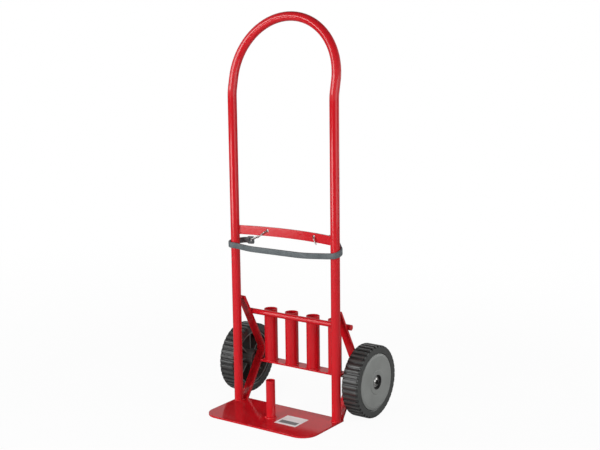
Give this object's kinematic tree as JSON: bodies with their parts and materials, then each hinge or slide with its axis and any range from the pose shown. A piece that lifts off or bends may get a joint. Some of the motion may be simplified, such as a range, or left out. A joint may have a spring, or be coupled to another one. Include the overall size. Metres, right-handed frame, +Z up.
{
  "type": "hand truck",
  "caption": "Red tube-frame hand truck with toe plate, tool peg, rear tubes for tool bits, rubber holding strap and solid-tyred wheels.",
  "frame": {"origin": "on the floor, midway between the two upright legs", "axes": "+X right as seen from the front, +Y back towards the wheels, +Z up"},
  "size_m": [0.4788, 0.3547, 1.108],
  "materials": {
    "red_paint": "gloss powder coat on steel",
    "axle_steel": "turned bar",
    "zinc": "zinc plated",
    "strap_rubber": "matt",
    "tyre_rubber": "matt",
    "wheel_plastic": "satin, moulded",
    "bush_plastic": "satin"
  },
  "bodies": {
    "frame": {"frame_tube": "red_paint", "toe_plate": "red_paint", "brace_left": "red_paint", "brace_right": "red_paint", "bit_shelf": "red_paint", "bit_tube_1": "red_paint", "bit_tube_2": "red_paint", "bit_tube_3": "red_paint", "bit_tube_4": "red_paint", "bit_rail": "red_paint", "back_crossbar": "red_paint", "tool_peg": "red_paint", "axle": "axle_steel", "strap_hook_left": "zinc", "strap_hook_right": "zinc", "inner_washer_left": "zinc", "inner_washer_right": "zinc", "outer_washer_left": "zinc", "outer_washer_right": "zinc", "push_nut_left": "zinc", "push_nut_right": "zinc", "strap": "strap_rubber"},
    "wheel_left": {"tyre_left": "tyre_rubber", "wheel_disc_left": "wheel_plastic", "wheel_bush_left": "bush_plastic"},
    "wheel_right": {"tyre_right": "tyre_rubber", "wheel_disc_right": "wheel_plastic", "wheel_bush_right": "bush_plastic"}
  },
  "joints": [
    {"name": "wheel_left_spin", "type": "hinge", "parent": "frame", "child": "wheel_left", "pos_m": [-0.21145, 0.0991, 0.1016], "axis": [1, 0, 0], "continuous": true},
    {"name": "wheel_right_spin", "type": "hinge", "parent": "frame", "child": "wheel_right", "pos_m": [0.21145, 0.0991, 0.1016], "axis": [1, 0, 0], "continuous": true}
  ]
}
